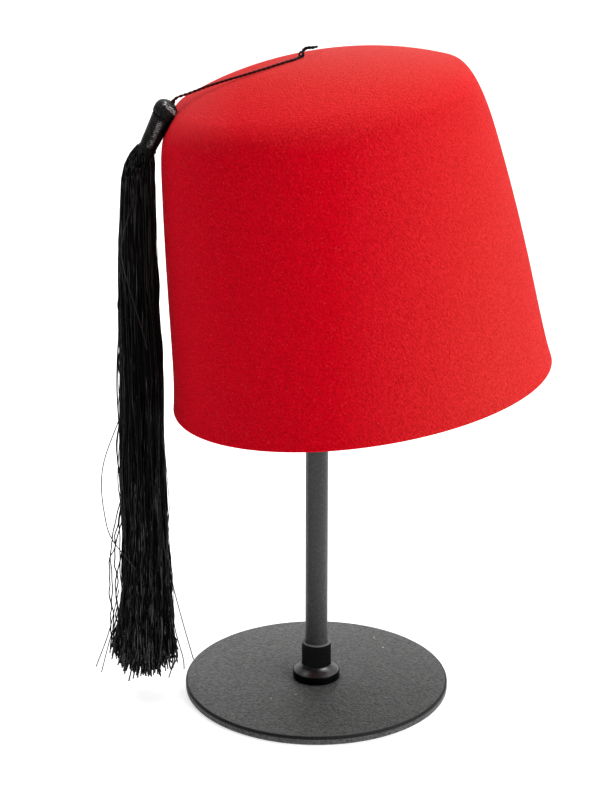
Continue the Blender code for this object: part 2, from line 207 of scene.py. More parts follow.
# The tassel's skirt: lean_deg tips a section as the neck leans, and groove is the depth of
# the creases between locks as a share of the section's radius.
SkirtRow = namedtuple("SkirtRow", "x z half_width half_depth lean_deg groove")
SKIRT_ROWS = [SkirtRow(*row) for row in (
    (-0.08155, 0.2831, 0.0042, 0.0042, 29.0, 0.02),
    (-0.0832, 0.2802, 0.0062, 0.0058, 23.0, 0.05),
    (-0.0848, 0.2756, 0.0073, 0.0068, 13.0, 0.07),
    (-0.0857, 0.2692, 0.0080, 0.0076, 5.0, 0.08),
    (-0.0860, 0.2575, 0.0084, 0.0082, 0.0, 0.09),
    (-0.0865, 0.2415, 0.0090, 0.0088, 0.0, 0.10),
    (-0.0868, 0.2215, 0.0095, 0.0094, 0.0, 0.11),
    (-0.0867, 0.1965, 0.0102, 0.0100, 0.0, 0.12),
    (-0.0864, 0.1665, 0.0109, 0.0108, 0.0, 0.13),
    (-0.0870, 0.1315, 0.0113, 0.0114, 0.0, 0.14),
    (-0.0873, 0.1015, 0.0120, 0.0120, 0.0, 0.15),
    (-0.0875, 0.0715, 0.0131, 0.0128, 0.0, 0.16),
    (-0.0880, 0.0465, 0.0146, 0.0138, 0.0, 0.17),
    (-0.0885, 0.0255, 0.0161, 0.0148, 0.0, 0.18),
)]
LOCKS = 15
LOCK_WANDER = 0.30

# Strays that stand clear of the skirt, each with its own route.
STRAY_ROUTES = [
    [(-0.0985, -0.006, 0.1472), (-0.1055, -0.010, 0.1290), (-0.1075, -0.012, 0.1154),
     (-0.1060, -0.016, 0.1010), (-0.1022, -0.021, 0.0899), (-0.0904, -0.0235, 0.0746)],
    [(-0.1010, -0.006, 0.0560), (-0.1064, -0.008, 0.0339), (-0.1137, -0.009, 0.0140)],
    [(-0.1005, -0.010, 0.0480), (-0.1060, -0.011, 0.0300), (-0.1107, -0.012, 0.0123)],
    [(-0.0760, -0.008, 0.0800), (-0.0734, -0.009, 0.0613), (-0.0690, -0.009, 0.0410),
     (-0.0634, -0.009, 0.0180)],
    [(-0.0745, -0.012, 0.0560), (-0.0723, -0.013, 0.0373), (-0.0685, -0.013, 0.0209),
     (-0.0681, -0.013, 0.0146)],
    [(-0.0850, -0.0165, 0.2710), (-0.0885, -0.0185, 0.2580), (-0.0919, -0.0188, 0.2460),
     (-0.0935, -0.0188, 0.2375), (-0.0922, -0.0194, 0.2270), (-0.0898, -0.0200, 0.2180),
     (-0.0843, -0.0206, 0.1978), (-0.0822, -0.0200, 0.1880)],
]

# Loose strings that hang clear of the skirt at its lower left, and curled ends at its right:
# where each starts, how far it falls, and how far it curls.
LooseString = namedtuple("LooseString", "x y z fall curl")
LOOSE_STRINGS = [LooseString(*row) for row in (
    (-0.0962, -0.0120, 0.2480, 0.0900, 0.0005),
    (-0.0968, -0.0080, 0.2280, 0.0700, 0.0004),
    (-0.1000, -0.0050, 0.1240, 0.0960, 0.0004),
    (-0.1022, -0.0090, 0.1150, 0.0900, 0.0006),
    (-0.1044, -0.0070, 0.1120, 0.0880, 0.0006),
    (-0.1052, -0.0100, 0.0960, 0.0700, 0.0007),
    (-0.1012, -0.0135, 0.0900, 0.0660, 0.0008),
    (-0.0740, -0.0110, 0.0400, 0.0260, 0.0013),
    (-0.0729, -0.0080, 0.0370, 0.0210, 0.0015),
    (-0.0748, -0.0150, 0.0390, 0.0270, 0.0012),
    (-0.0722, -0.0120, 0.0350, 0.0210, 0.0015),
    (-0.0735, -0.0060, 0.0330, 0.0220, 0.0012),
)]

# Pale specks of dust on the base: each a place and a radius.
DUST = [((0.0317, 0.0464, 0.0045), 0.00055), ((0.0361, 0.0339, 0.0045), 0.00060),
        ((-0.0106, -0.0215, 0.0045), 0.00050), ((-0.0233, -0.0260, 0.0045), 0.00045),
        ((0.0120, 0.0290, 0.0045), 0.00030), ((-0.0400, 0.0150, 0.0045), 0.00028),
        ((0.0260, -0.0120, 0.0045), 0.00026)]
DUST_COLOUR = (0.50, 0.46, 0.34)


# ---------------- settings

def colour_of(name, description, default):
    """A colour that the user may change."""
    return FloatVectorProperty(name=name, description=description, subtype="COLOR", size=3,
                               min=0.0, max=1.0, default=default)


def brightness_of(name, description, default):
    """A strength of light that the user may change."""
    return FloatProperty(name=name, description=description, min=0.0, max=5.0, default=default)


class FeltSettings(PropertyGroup):
    """Colours and nap of the felt."""

    red: colour_of("Red", "Colour of the felt's raised fibres", (0.735, 0.0020, 0.024))
    deep_red: colour_of("Deep red", "Colour between the fibres", (0.445, 0.0004, 0.009))
    nap_red: colour_of("Nap red", "Colour of the loose nap", (0.70, 0.034, 0.034))
    nap_length: FloatProperty(name="Nap length", description="Length of a loose fibre",
                              unit="LENGTH", min=0.0001, max=0.003, default=0.0009)
    nap_count: IntProperty(name="Nap fibres", description="Number of loose fibres",
                           min=0, max=49000, default=38000)


class ThreadSettings(PropertyGroup):
    """Thread of the tassel and its cord."""

    black: colour_of("Black", "Colour of the thread", (0.0022, 0.0022, 0.0025))
    # The cord's thread is black like the knot's; its red tint is painted red light reflected from
    # the felt.
    cord: colour_of("Cord", "Colour of the cord's thread", (0.060, 0.0060, 0.0075))
    stray: colour_of("Stray", "Colour of the strays over the skirt", (0.030, 0.030, 0.030))
    diameter: FloatProperty(name="String", description="Diameter of one string of the skirt",
                            unit="LENGTH", min=0.0001, max=0.002, default=0.00074)
    count: IntProperty(name="Strings", description="Number of strings in the skirt",
                       min=50, max=600, default=510)


class StandSettings(PropertyGroup):
    """Paint of the stand."""

    coat: colour_of("Coat", "Colour of the base's paint", (0.090, 0.094, 0.092))
    post: colour_of("Post", "Colour of the post's paint", (0.046, 0.047, 0.048))
    collar: colour_of("Collar", "Colour of the collar's paint", (0.0035, 0.0035, 0.0035))
    # The bell's paint is lighter than the collar's: a painted part of its highlight, over its
    # real gloss.
    bell: colour_of("Bell", "Colour of the collar's polished bell", (0.024, 0.024, 0.025))


class StageSettings(PropertyGroup):
    """Floor, backdrop and lights."""

    floor: colour_of("Floor", "Colour of the floor", (0.60, 0.60, 0.60))
    glow: brightness_of("Floor glow", "Brightness of the floor's own light", 0.50)
    backdrop: brightness_of("Backdrop", "Brightness of the lit backdrop", 0.40)
    surround: brightness_of("Surround", "Brightness of the room all round", 0.02)


# ---------------- shared makers

def finished(bm, name, materials, sharp_deg=40.0):
    """Turn a bmesh into a mesh with its materials, smooth between its sharp creases."""
    mesh = bpy.data.meshes.new(name)
    bm.to_mesh(mesh)
    bm.free()
    for made in materials:
        mesh.materials.append(made)
    mesh.shade_smooth()
    mesh.set_sharp_from_angle(angle=math.radians(sharp_deg))
    return mesh


def add_piece(name, mesh, stands_for=()):
    """Put a finished mesh into the scene as a piece of the object."""
    made = bpy.data.objects.new(name, mesh)
    bpy.context.scene.collection.objects.link(made)
    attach(made, BODY)
    if stands_for:
        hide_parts(*stands_for)
    return made


def settle(bm):
    """Put the faces in the order of their corners, which some tools leave to chance."""
    bm.verts.index_update()
    count = len(bm.verts)

    def rank(face):
        first, second, third = sorted(vert.index for vert in face.verts)[:3]
        return (first * count + second) * count + third

    bm.faces.sort(key=rank)


def turned(outline, sides, is_ring=False):
    """Spin an outline of (radius, height) pairs about the Z axis into a body or a shell."""
    bm = bmesh.new()
    corners = [bm.verts.new((radius, 0.0, height)) for radius, height in outline]
    edges = [bm.edges.new(pair) for pair in zip(corners, corners[1:])]
    if is_ring:
        edges.append(bm.edges.new((corners[-1], corners[0])))
    bmesh.ops.spin(bm, geom=corners + edges, cent=(0.0, 0.0, 0.0), axis=UP, angle=math.tau,
                   steps=sides, use_merge=True)
    bmesh.ops.remove_doubles(bm, verts=bm.verts, dist=1e-6)
    bmesh.ops.recalc_face_normals(bm, faces=bm.faces)
    settle(bm)
    return bm


def round_body(rows, sides, shrink):
    """A plain body through the beads, a little slimmer than their radii, from joined rings."""
    places = [Vector(row[:3]) for row in rows]
    bm = bmesh.new()
    rings = []
    for i, row in enumerate(rows):
        along = places[min(i + 1, len(rows) - 1)] - places[max(i - 1, 0)]
        turn = along.to_track_quat("Z", "Y").to_matrix().to_4x4()
        ring = bmesh.ops.create_circle(bm, segments=sides, radius=max(row.radius - shrink, 4e-4),
                                       matrix=Matrix.Translation(places[i]) @ turn)
        edges = (edge for vert in ring["verts"] for edge in vert.link_edges)
        rings.append(list(dict.fromkeys(edges)))
    for lower, upper in zip(rings, rings[1:]):
        bmesh.ops.bridge_loops(bm, edges=lower + upper)
    bmesh.ops.holes_fill(bm, edges=rings[0] + rings[-1])
    bmesh.ops.recalc_face_normals(bm, faces=bm.faces)
    return bm


def unit(vectors):
    """The same directions, with a length of one."""
    return vectors / np.linalg.norm(vectors, axis=1, keepdims=True)


def run_along(points):
    """The distance along a line at each of its points."""
    return np.r_[0.0, np.cumsum(np.linalg.norm(np.diff(points, axis=0), axis=1))]


def at_stops(stops, points):
    """The places at some distances along a line."""
    run = run_along(points)
    return np.stack([np.interp(stops, run, points[:, axis]) for axis in range(3)], axis=1)


def smooth_through(route, steps):
    """Points on a Catmull-Rom curve through the route, `steps` to each stretch."""
    spots = [Vector(spot) for spot in route]
    spots = [2 * spots[0] - spots[1]] + spots + [2 * spots[-1] - spots[-2]]
    points = []
    for before, start, end, after in zip(spots, spots[1:], spots[2:], spots[3:]):
        handles = (start + (end - before) / 6, end - (after - start) / 6)
        points += interpolate_bezier(start, *handles, end, steps + 1)[:-1]
    return np.array(points + [spots[-2]])


def evenly_spaced(points, spacing):
    """The same line with its points moved to equal distances along it."""
    length = run_along(points)[-1]
    return at_stops(np.linspace(0.0, length, max(2, round(length / spacing)) + 1), points)


def circled(points, reach, turn, upright=UP):
    """Points that lie a reach away from a line's own, turned about the line."""
    along = unit(np.gradient(points, axis=0))
    aside = unit(np.cross(along, upright))
    over = np.cross(aside, along)
    reach, turn = (np.broadcast_to(part, len(points))[:, None] for part in (reach, turn))
    return points + reach * (np.cos(turn) * aside + np.sin(turn) * over)


def threads(name, lines, radii, rounding, material):
    """One closed mesh of round threads. `radii` is one radius, or holds a row for each line.

    Its UV map runs along each thread in u and round it in v.
    """
    curve = bpy.data.curves.new(name, "CURVE")
    curve.dimensions = "3D"
    curve.bevel_depth = 1.0
    curve.bevel_resolution = rounding
    curve.use_fill_caps = True
    for number, line in enumerate(lines):
        spline = curve.splines.new("POLY")
        spline.points.add(len(line) - 1)
        spline.points.foreach_set("co", np.c_[line, np.ones(len(line))].ravel())
        own = radii if np.isscalar(radii) else radii[number]
        spline.points.foreach_set("radius", np.broadcast_to(own, len(line)).astype(np.float32))
    holder = bpy.data.objects.new(name, curve)
    bpy.context.scene.collection.objects.link(holder)
    made = bpy.data.meshes.new_from_object(
        holder.evaluated_get(bpy.context.evaluated_depsgraph_get()))
    bpy.data.objects.remove(holder)
    bpy.data.curves.remove(curve)

    bm = bmesh.new()
    bm.from_mesh(made)
    bpy.data.meshes.remove(made)
    bmesh.ops.remove_doubles(bm, verts=bm.verts, dist=2e-6)
    bmesh.ops.recalc_face_normals(bm, faces=bm.faces)
    return finished(bm, name, [material], 80.0)


def read_all(items, attribute, kind=np.int32, width=1):
    """One attribute of every item, with a row for each."""
    values = np.zeros(len(items) * width, kind)
    items.foreach_get(attribute, values)
    return values.reshape(-1, width).squeeze()


# ---------------- node helpers

def feed(tree, socket, value):
    """Link a socket to the one that feeds it, or give it a value of its own."""
    if isinstance(value, NodeSocket):
        tree.links.new(value, socket)
    else:
        socket.default_value = value


def add_node(tree, kind, settings=None, **inputs):
    """Add a node with its own settings, and feed the inputs that are named."""
    made = tree.nodes.new(kind)
    for name, value in (settings or {}).items():
        setattr(made, name, value)
    for name, value in inputs.items():
        feed(tree, made.inputs[name.replace("_", " ")], value)
    return made


def maths(tree, operation, *values, kind="ShaderNodeMath", output="Value"):
    """Work out one socket from sockets or numbers."""
    made = add_node(tree, kind, {"operation": operation})
    for socket, value in zip(made.inputs, values):
        feed(tree, socket, value)
    return made.outputs[output]


def vector_maths(tree, operation, *values, output="Value"):
    """Work out one socket from vectors."""
    return maths(tree, operation, *values, kind="ShaderNodeVectorMath", output=output)


def product(tree, *factors):
    """Multiply sockets."""
    return reduce(lambda total, factor: maths(tree, "MULTIPLY", total, factor), factors)


def weighted_sum(tree, *parts):
    """Add up (socket, weight) pairs."""
    weighed = [maths(tree, "MULTIPLY", socket, weight) for socket, weight in parts]
    return reduce(lambda total, part: maths(tree, "ADD", total, part), weighed)


def stretched(tree, value, low, high):
    """Spread a value over 0 to 1 between a low and a high one, and keep it there."""
    return add_node(tree, "ShaderNodeMapRange", Value=value, From_Min=low,
                    From_Max=high).outputs[0]


def sides_of(tree, vector):
    """A vector's X, Y and Z."""
    return add_node(tree, "ShaderNodeSeparateXYZ", Vector=vector).outputs


def growing(tree, place, bounds):
    """A mask along each axis in `bounds`, from 0 to 1 between its two places."""
    sides = sides_of(tree, place)
    return [stretched(tree, sides[axis], *ends) for axis, ends in bounds.items()]


def noise(tree, place, scale, detail, **others):
    return add_node(tree, "ShaderNodeTexNoise", Vector=place, Scale=scale, Detail=detail,
                    **others).outputs["Fac"]


def blended(tree, share, first, second):
    """Blend two colours, each a socket or a fixed colour. It returns the blend's socket."""
    made = add_node(tree, "ShaderNodeMix", {"data_type": "RGBA"}, Factor=share)
    colour_inputs = (made.inputs[6], made.inputs[7])
    for socket, colour in zip(colour_inputs, (first, second)):
        feed(tree, socket, colour if isinstance(colour, NodeSocket) else (*colour, 1.0))
    return made.outputs[2]


def shaded(colour, share):
    """A fixed colour, brightened or darkened."""
    return tuple(share * part for part in colour)


def shared_group(name, inputs, wire):
    """The node group of that name, which is built once.

    `inputs` gives each input's default, or None for a vector. `wire` takes the group's tree and
    its inputs, and returns its outputs by name.
    """
    known = bpy.data.node_groups.get(name)
    if known:
        return known
    tree = bpy.data.node_groups.new(name, "ShaderNodeTree")
    for label, default in inputs.items():
        kind = "NodeSocketVector" if default is None else "NodeSocketFloat"
        socket = tree.interface.new_socket(label, in_out="INPUT", socket_type=kind)
        if default is not None:
            socket.default_value = default
    outputs = wire(tree, tree.nodes.new("NodeGroupInput").outputs)
    for label in outputs:
        tree.interface.new_socket(label, in_out="OUTPUT", socket_type="NodeSocketFloat")
    end = tree.nodes.new("NodeGroupOutput")
    for label, socket in outputs.items():
        tree.links.new(socket, end.inputs[label])
    return tree


def place_group(tree, group, **inputs):
    """Put a node group into a material. It returns the group's outputs."""
    return add_node(tree, "ShaderNodeGroup", {"node_tree": group}, **inputs).outputs


def new_material(name, **values):
    """A material whose surface shader has the given values. It returns both."""
    made = bpy.data.materials.new(name)
    made.use_nodes = True
    shader = made.node_tree.nodes["Principled BSDF"]
    for label, value in values.items():
        shader.inputs[label.replace("_", " ")].default_value = value
    return made, shader


def object_place(tree):
    return add_node(tree, "ShaderNodeTexCoord").outputs["Object"]


def bump(tree, shader, height, distance):
    raised = add_node(tree, "ShaderNodeBump", Height=height, Distance=distance, Strength=1.0)
    tree.links.new(raised.outputs["Normal"], shader.inputs["Normal"])


# ---------------- shared effects

def felted_fibres():
    """Matted felt: slanting lumps and finer fibres over them, with a few paler hairs."""

    def wire(tree, given):
        shares = {}
        for layer in FELT_LAYERS:
            lay = add_node(tree, "ShaderNodeMapping", {"vector_type": "TEXTURE"},
                           Vector=given["Vector"], Rotation=layer.turn,
                           Scale=(1.0, 1.0, layer.stretch))
            value = noise(tree, lay.outputs[0], layer.scale, 1.0, Distortion=layer.waviness)
            shares[layer.name] = stretched(tree, value, layer.low, layer.high)
        height = weighted_sum(tree, *((shares[layer.name], layer.rise) for layer in FELT_LAYERS))
        return {"Lumps": shares["Lumps"], "Fibres": shares["Fibres"], "Hairs": shares["Hairs"],
                "Height": height}

    return shared_group("Felted fibres", {"Vector": None}, wire)


def thread_twist():
    """The slanting grooves between the plies of a thread, from its UV map."""

    def wire(tree, given):
        along, round_it, _ = sides_of(tree, given["UV"])
        turns = weighted_sum(tree, (along, given["Turns"]), (round_it, given["Plies"]))
        wave = maths(tree, "SINE", maths(tree, "MULTIPLY", turns, math.pi))
        return {"Height": maths(tree, "ABSOLUTE", wave)}

    return shared_group("Thread twist", {"UV": None, "Turns": 100.0, "Plies": 2.0}, wire)


def thread_streaks():
    """Painted highlights: upright streaks a thread wide and some centimetres long, with more of
    them at both ends.
    """
    scale, lengthening = 1900.0, (1.0, 1.0, 0.008)
    pale_from, pale_to = 0.64, 0.70         # values of the noise
    middle = 0.165
    plain_until, full_from = 0.02, 0.14     # distances above and below the middle
    extra = 0.13

    def wire(tree, given):
        lay = add_node(tree, "ShaderNodeMapping", Vector=given["Vector"], Scale=lengthening)
        value = noise(tree, lay.outputs[0], scale, 1.0)
        height = sides_of(tree, given["Vector"])["Z"]
        away = maths(tree, "ABSOLUTE", maths(tree, "SUBTRACT", height, middle))
        more = maths(tree, "MULTIPLY", stretched(tree, away, plain_until, full_from), extra)
        total = maths(tree, "ADD", value, more)
        return {"Streaks": stretched(tree, total, pale_from, pale_to)}

    return shared_group("Thread streaks", {"Vector": None}, wire)


def paint_grain():
    """The fine orange-peel grain of powder paint, under a slow cloudiness."""
    cloud_scale = 220.0
    low, high = 0.30, 0.70                  # values of the noise

    def wire(tree, given):
        grain = noise(tree, given["Vector"], given["Scale"], 2.0, Roughness=0.6)
        cloud = noise(tree, given["Vector"], cloud_scale, 3.0, Roughness=0.6)
        return {"Height": stretched(tree, grain, low, high),
                "Cloud": stretched(tree, cloud, low, high)}

    return shared_group("Paint grain", {"Vector": None, "Scale": 1600.0}, wire)


def dust_specks():
    """A mask of small round specks."""
    outer, inner = 1.2, 0.7                 # shares of a speck's radius

    def wire(tree, given):
        specks = [stretched(tree, vector_maths(tree, "DISTANCE", given["Vector"], place),
                            outer * radius, inner * radius) for place, radius in DUST]
        return {"Mask": reduce(lambda mask, speck: maths(tree, "MAXIMUM", mask, speck), specks)}

    return shared_group("Dust specks", {"Vector": None}, wire)


# ---------------- materials

def painted_sheen_share(tree, place):
    """How far the felt is painted pale, as a painted sheen, at each place."""
    return weighted_sum(tree, *((product(tree, *growing(tree, place, bounds)), share)
                                for bounds, share in PAINTED_SHEEN))


def felt_material(name, red, deep_red, hair_red, sheen):
    """Brushed felt: fibres over a deeper ground, with a soft bloom where it's seen aslant."""
    made, shader = new_material(name, Roughness=0.70, Specular_IOR_Level=0.02,
                                Sheen_Weight=sheen, Sheen_Roughness=0.30,
                                Sheen_Tint=(1.0, 0.14, 0.17, 1.0))
    tree = made.node_tree
    place = object_place(tree)
    fibres = place_group(tree, felted_fibres(), Vector=place)
    # Painted highlight: the felt is paler on its crown and right side, where the light falls most
    # strongly.
    lit_share = maths(tree, "MAXIMUM", *growing(tree, place, LIT_SIDE))

    def paled_by_light(colour, share):
        pale = [part + share * added for part, added in zip(colour, LIT_PALING)]
        return blended(tree, lit_share, colour, pale)

    light = weighted_sum(tree, *((fibres[layer], part) for layer, part in FELT_LIGHT.items()))
    ground = blended(tree, light, paled_by_light(deep_red, LIT_PALING_DEEP), paled_by_light(red, LIT_PALING_HIGH))
    hairy = blended(tree, fibres["Hairs"], ground, hair_red)
    # Painted sheen: palest at the crown's top, by the tassel's head and at the crown's back.
    sheened = blended(tree, painted_sheen_share(tree, place), hairy, PAINTED_SHEEN_COLOUR)
    tree.links.new(sheened, shader.inputs["Base Color"])
    bump(tree, shader, fibres["Height"], FELT_RELIEF)
    return made


def nap_material(name, red):
    made, shader = new_material(name, Roughness=0.9, Specular_IOR_Level=0.1)
    tree = made.node_tree
    fibres = place_group(tree, felted_fibres(), Vector=object_place(tree))
    tree.links.new(blended(tree, fibres["Lumps"], shaded(red, 0.75), red),
                   shader.inputs["Base Color"])
    return made


def painted_highlight_band(tree, place, painted_highlight):
    """The mottled mask of a painted highlight band."""
    apart = vector_maths(tree, "SUBTRACT", place, painted_highlight.start, output="Vector")
    along, across, out = (vector_maths(tree, "DOT_PRODUCT", apart, way)
                          for way in (painted_highlight.along, painted_highlight.across, painted_highlight.out))
    beside = maths(tree, "ABSOLUTE", across)
    mottling = noise(tree, place, HIGHLIGHT_MOTTLING, 1.0)
    return product(tree,
                   stretched(tree, beside, painted_highlight.half_width + HIGHLIGHT_EDGE, painted_highlight.half_width),
                   stretched(tree, along, -HIGHLIGHT_EDGE, 0.0),
                   stretched(tree, along, painted_highlight.length + HIGHLIGHT_EDGE, painted_highlight.length),
                   stretched(tree, out, 0.0, HIGHLIGHT_EDGE),
                   stretched(tree, mottling, *HIGHLIGHT_GAPS))


def thread_material(name, black, turns, plies=2.0, gloss=0.20, relief=0.00006, highlight_streaks=0.0,
                    painted_highlight=None):
    """Smooth twisted thread. `turns` is the number of grooves along a whole thread.

    Where the streak value isn't 0, some threads are painted as pale as that, as painted
    highlights.
    A painted highlight band, where given, is a paler band painted where the floss catches the
    light.
    """
    made, shader = new_material(name, Roughness=0.28, Specular_IOR_Level=gloss)
    tree = made.node_tree
    layout = add_node(tree, "ShaderNodeUVMap", {"uv_map": "UVMap"}).outputs["UV"]
    twist = place_group(tree, thread_twist(), UV=layout, Turns=turns, Plies=plies)["Height"]
    # The grooves between the plies are painted darker: painted shade.
    colour = blended(tree, twist, shaded(black, 0.3), black)
    place = object_place(tree)
    # Paler streaks on some threads: painted highlights.
    if highlight_streaks:
        streaks = place_group(tree, thread_streaks(), Vector=place)["Streaks"]
        colour = blended(tree, product(tree, streaks, twist), colour, (highlight_streaks,) * 3)
    # A painted highlight: a paler band where the floss catches the light.
    if painted_highlight:
        mask = product(tree, painted_highlight_band(tree, place, painted_highlight), twist)
        colour = blended(tree, mask, colour, (painted_highlight.tone,) * 3)
    tree.links.new(colour, shader.inputs["Base Color"])
    bump(tree, shader, twist, relief)
    return made


def heart_material(name, black):
    """The dark heart of the tassel, seen only between its threads."""
    made, shader = new_material(name, Roughness=0.8, Specular_IOR_Level=0.1)
    tree = made.node_tree
    grain = place_group(tree, paint_grain(), Vector=object_place(tree), Scale=2500.0)
    tree.links.new(blended(tree, grain["Height"], shaded(black, 0.4), black),
                   shader.inputs["Base Color"])
    return made


# Painted light on a round piece's edge: paint of another tone outside a radius and above a
# height.
PaintedLight = namedtuple("PaintedLight", "radius height tone")
PAINTED_LIGHT_EDGE = 0.0004
PAINT_LIGHT = {"Height": 0.8, "Cloud": 0.2}     # what the paint's paleness follows, and how far
CLOUDY_ROUGHNESS = 0.10             # how far the roughness strays


def painted_light_mask(tree, place, painted_light):
    """1 where a round piece lies outside the painted light's radius and above its height."""
    x, y, z = sides_of(tree, place)
    square = maths(tree, "ADD", maths(tree, "POWER", x, 2.0), maths(tree, "POWER", y, 2.0))
    radius = maths(tree, "SQRT", square)
    return product(tree, stretched(tree, radius, painted_light.radius, painted_light.radius + PAINTED_LIGHT_EDGE),
                   stretched(tree, z, painted_light.height, painted_light.height + PAINTED_LIGHT_EDGE))


def paint_material(name, colour, roughness, relief, gloss, grain_scale=900.0, contrast=0.3,
                   painted_light=None, is_dusty=False):
    """Powder paint, with painted light on an edge where given. `contrast` is how far its grain
    strays from the colour.
    """
    made, shader = new_material(name, Specular_IOR_Level=gloss)
    tree = made.node_tree
    place = object_place(tree)
    grain = place_group(tree, paint_grain(), Vector=place, Scale=grain_scale)
    light = weighted_sum(tree, *((grain[part], share) for part, share in PAINT_LIGHT.items()))
    coat = blended(tree, light, shaded(colour, 1.0 - contrast), shaded(colour, 1.0 + contrast))
    # Painted light: the edge takes another tone.
    if painted_light:
        coat = blended(tree, painted_light_mask(tree, place, painted_light), coat, (painted_light.tone,) * 3)
    if is_dusty:
        coat = blended(tree, place_group(tree, dust_specks(), Vector=place)["Mask"], coat,
                       DUST_COLOUR)
    tree.links.new(coat, shader.inputs["Base Color"])
    rough = maths(tree, "ADD", maths(tree, "MULTIPLY", grain["Cloud"], CLOUDY_ROUGHNESS),
                  roughness - CLOUDY_ROUGHNESS / 2)
    tree.links.new(rough, shader.inputs["Roughness"])
    bump(tree, shader, grain["Height"], relief)
    return made


# ---------------- the hat's form

def wall_radius(height):
    """Outer radius of the upright hat's wall at a height above its rim."""
    up = height / WALL_HEIGHT
    straight = RIM_RADIUS - RIM_FLARE + (CROWN_RADIUS - RIM_RADIUS + RIM_FLARE) * up
    bulge = 4.0 * WALL_BULGE * up * (1.0 - up)
    return straight + bulge + RIM_FLARE * math.exp(-height / FLARE_FADE)


def crown_height(radius):
    return WALL_HEIGHT + CROWN_RISE * (1.0 - (radius / CROWN_RADIUS) ** CROWN_POWER)


def felt_outside(drop=SHOULDER_DROP, inset=SHOULDER_IN, lower=0.0, out=0.0):
    """(radius, height) pairs up the outside of the hat, from the rim to the crown's middle.

    The shoulder starts `drop` below the wall's top, ends `inset` from its edge, and its corner
    lies `lower` and further `out` than the wall's own.
    """
    wall_top = WALL_HEIGHT - drop
    heights = [wall_top * (i / WALL_ROWS) ** WALL_ROWS_POWER for i in range(WALL_ROWS)]
    points = [(wall_radius(height), height) for height in heights]

    shoulder_end = CROWN_RADIUS - inset
    start = Vector((wall_radius(wall_top), wall_top))
    corner = Vector((CROWN_RADIUS + out, WALL_HEIGHT - lower))
    end = Vector((shoulder_end, crown_height(shoulder_end) - 0.5 * lower))
    handles = (start.lerp(corner, 2 / 3), end.lerp(corner, 2 / 3))
    curve = interpolate_bezier(start, *handles, end, SHOULDER_ROWS + 1)
    points += [(spot.x, spot.y) for spot in curve]

    for i in range(1, CROWN_ROWS + 1):
        radius = shoulder_end * (1.0 - i / CROWN_ROWS)
        sunk = 0.5 * lower * (radius / shoulder_end) ** 2
        points.append((radius, crown_height(radius) - sunk))
    return points


def fuller_front(bm):
    """Ease the spun hat's rows towards the profile with the fuller shoulder at the front."""
    plain = felt_outside()
    full = felt_outside(FULL_DROP, FULL_IN, FULL_LOWER, FULL_OUT)
    heights = np.array([height for _, height in plain])
    for vert in bm.verts:
        row = int(np.abs(heights - vert.co.z).argmin())
        radius = max(plain[row][0], 1e-9)
        share = (-vert.co.y / radius - FULL_FROM) / (FULL_TO - FULL_FROM)
        share = min(max(share, 0.0), 1.0)
        share = share * share * (3.0 - 2.0 * share)
        new_radius = radius + share * (full[row][0] - radius)
        vert.co.x *= new_radius / radius
        vert.co.y *= new_radius / radius
        vert.co.z += share * (full[row][1] - vert.co.z)


def on_stand(point):
    """Take a point of the upright hat to its place on the stand."""
    up = point.z / crown_height(0.0)
    slant = RIM_SLANT + (CROWN_SLANT - RIM_SLANT) * up
    leaning = Vector((point.x + CROWN_LEAN * up ** 2, point.y, point.z + slant * point.x))
    turn = Matrix.Rotation(TILT_SIDE, 3, "Y") @ Matrix.Rotation(TILT_BACK, 3, "X")
    return pressed_in(turn @ leaning + RIM_CENTRE)


def pressed_in(spot):
    """Move a point of the felt away from the tassel's head."""
    away = spot - DENT_PLACE
    along = away.y / DENT_REACH_ALONG
    down = math.hypot(away.x, away.z) / DENT_REACH_DOWN
    return spot + DENT_PUSH * math.exp(-(along ** 2 + down ** 2) / 2)


def felt_bmesh():
    """The whole hat: its outside is spun, placed, given its thickness and rounded at the rim."""
    bm = turned(felt_outside(), HAT_SIDES)
    fuller_front(bm)
    for vert in bm.verts:
        vert.co = on_stand(vert.co)
    bm.normal_update()
    if max(bm.faces, key=lambda face: face.calc_center_median().z).normal.z < 0.0:
        bmesh.ops.reverse_faces(bm, faces=bm.faces)
    outside = set(bm.faces)
    bmesh.ops.solidify(bm, geom=bm.faces[:], thickness=FELT)
    for face in bm.faces:
        face.material_index = 0 if face in outside else 1
    bm.normal_update()
    rim = [edge for edge in bm.edges if edge.calc_face_angle(0.0) > RIM_CORNER]
    bmesh.ops.bevel(bm, geom=rim, offset=RIM_ROUND, segments=3, profile=0.5, affect="EDGES",
                    material=-1, clamp_overlap=True)
    settle(bm)
    return bm


# ---------------- operators

class FEZ_OT_camera(Operator):
    """Set the camera that sees the hat from the front and a little above"""

    bl_idname = "fez.camera"
    bl_label = "Camera"

    PLACE = (-0.00851, -0.9443, 0.4712)
    PITCH = math.radians(71.54)
    LENS = {"lens": 90.0, "sensor_width": 36.0, "clip_start": 0.01, "clip_end": 50.0}

    def execute(self, context):
        lens = bpy.data.cameras.new("camera")
        for name, value in self.LENS.items():
            setattr(lens, name, value)
        camera = bpy.data.objects.new("camera", lens)
        camera.location = self.PLACE
        camera.rotation_euler = (self.PITCH, 0.0, 0.0)
        context.scene.collection.objects.link(camera)
        context.scene.camera = camera
        return {"FINISHED"}


# A twisted strand: the size of its plies, the length of a turn, the distance between its
# points, and its thickness at shares of its length.
Strand = namedtuple("Strand", "ply_radius ply_offset pitch spacing thickness")


